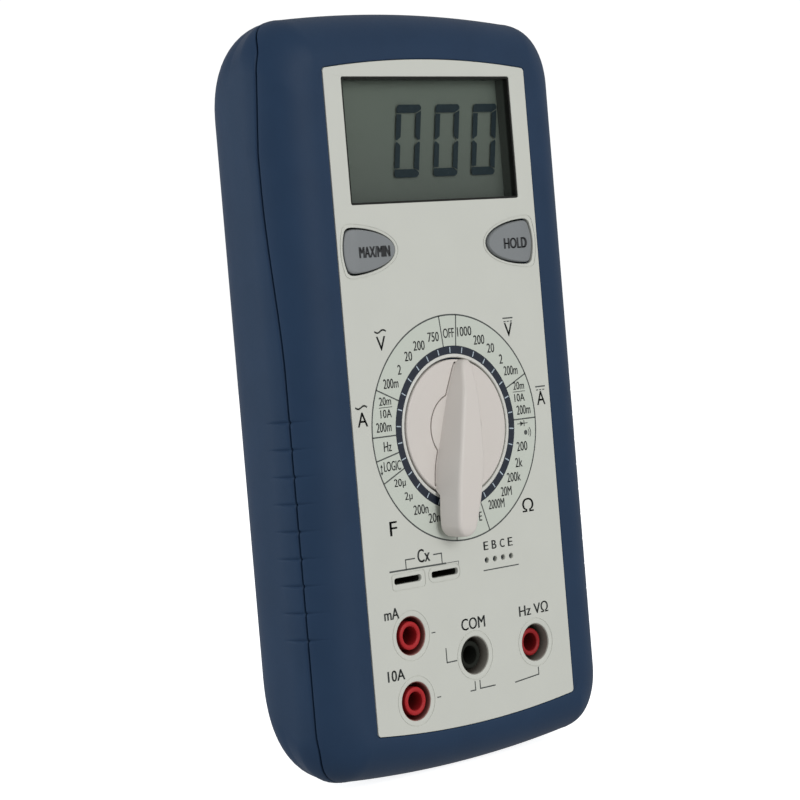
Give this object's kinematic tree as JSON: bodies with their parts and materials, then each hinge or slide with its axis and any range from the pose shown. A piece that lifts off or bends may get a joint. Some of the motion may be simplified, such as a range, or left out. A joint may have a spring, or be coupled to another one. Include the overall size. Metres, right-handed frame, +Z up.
{
  "type": "hand-held digital multimeter",
  "caption": "Hand-held digital multimeter with a display, a rotary range switch, push buttons, shrouded input jacks and a folding tilt stand.",
  "frame": {"origin": "middle of the bounding box in X and Y, at the lower end of the case", "axes": "+Z up the long axis towards the display, -Y out of the face, +X to the right of someone reading the display"},
  "size_m": [0.0874, 0.0365, 0.1669],
  "materials": {
    "case_blue": "fine matt texture, dark blue",
    "panel_pale": "smooth satin, warm light grey",
    "knob_white": "satin, off white",
    "button_grey": "satin grey",
    "jack_red": "semi gloss red",
    "black_plastic": "semi gloss black",
    "switch_white": "natural acetal",
    "window_clear": "clear, thin",
    "lcd": "grey green reflective display",
    "board": "green solder mask",
    "zebra": "pink silicone",
    "steel": "bright plated",
    "brass": "bright turned",
    "bronze": "phosphor bronze",
    "ceramic": "matt white",
    "fuse_glass": "clear tube",
    "resistor_blue": "light blue lacquer",
    "trimmer_blue": "blue",
    "film_red": "brick red epoxy",
    "can_blue": "dark blue sleeve",
    "thermistor_yellow": "ochre epoxy",
    "battery_can": "dark plain wrap",
    "lead_red": "soft insulation"
  },
  "bodies": {
    "case": {"front_cover": "case_blue", "back_cover": "case_blue", "face_panel": "panel_pale", "display_window": "window_clear", "lcd_frame": "black_plastic", "lcd_glass": "lcd", "zebra_strips": "zebra", "main_board": "board", "detent_ring": "switch_white", "jack_ma": "jack_red", "jack_10a": "jack_red", "jack_com": "black_plastic", "jack_volt": "jack_red", "socket_ma": "brass", "socket_10a": "brass", "socket_com": "brass", "socket_volt": "brass", "capacitor_socket": "black_plastic", "capacitor_contacts": "brass", "transistor_socket": "switch_white", "transistor_contacts": "brass", "button_switches": "black_plastic", "fuse_200ma": "fuse_glass", "fuse_10a": "ceramic", "fuse_clips": "brass", "current_shunt": "bronze", "converter_chip": "black_plastic", "crystal": "steel", "trimmers": "trimmer_blue", "precision_resistors": "resistor_blue", "film_capacitor": "film_red", "electrolytic_capacitors": "can_blue", "thermistor": "thermistor_yellow", "piezo_buzzer": "black_plastic", "battery": "battery_can", "battery_snap": "black_plastic", "battery_leads": "lead_red", "battery_door": "case_blue", "battery_door_screw": "steel", "case_screws": "steel", "board_screws": "steel"},
    "knob": {"range_knob": "knob_white", "switch_rotor": "switch_white", "rotor_contacts": "bronze", "rotor_screw": "steel", "detent_balls": "steel", "detent_springs": "steel"},
    "max_min": {"max_min_button": "button_grey", "max_min_plunger": "switch_white"},
    "hold": {"hold_button": "button_grey", "hold_plunger": "switch_white"},
    "stand": {"tilt_stand": "case_blue"}
  },
  "joints": [
    {"name": "range_switch", "type": "hinge", "parent": "case", "child": "knob", "pos_m": [0, -0.01195, 0.075], "axis": [0, 1, 0], "continuous": true},
    {"name": "max_min_press", "type": "slide", "parent": "case", "child": "max_min", "axis": [0, 1, 0], "range_m": [0, 0.0008], "stiffness_N_per_m": 1200, "springref_m": -0.0005},
    {"name": "hold_press", "type": "slide", "parent": "case", "child": "hold", "axis": [0, 1, 0], "range_m": [0, 0.0008], "stiffness_N_per_m": 1200, "springref_m": -0.0005},
    {"name": "stand_hinge", "type": "hinge", "parent": "case", "child": "stand", "pos_m": [0, 0.01655, 0.095], "axis": [1, 0, 0], "range_deg": [0, 65]}
  ]
}
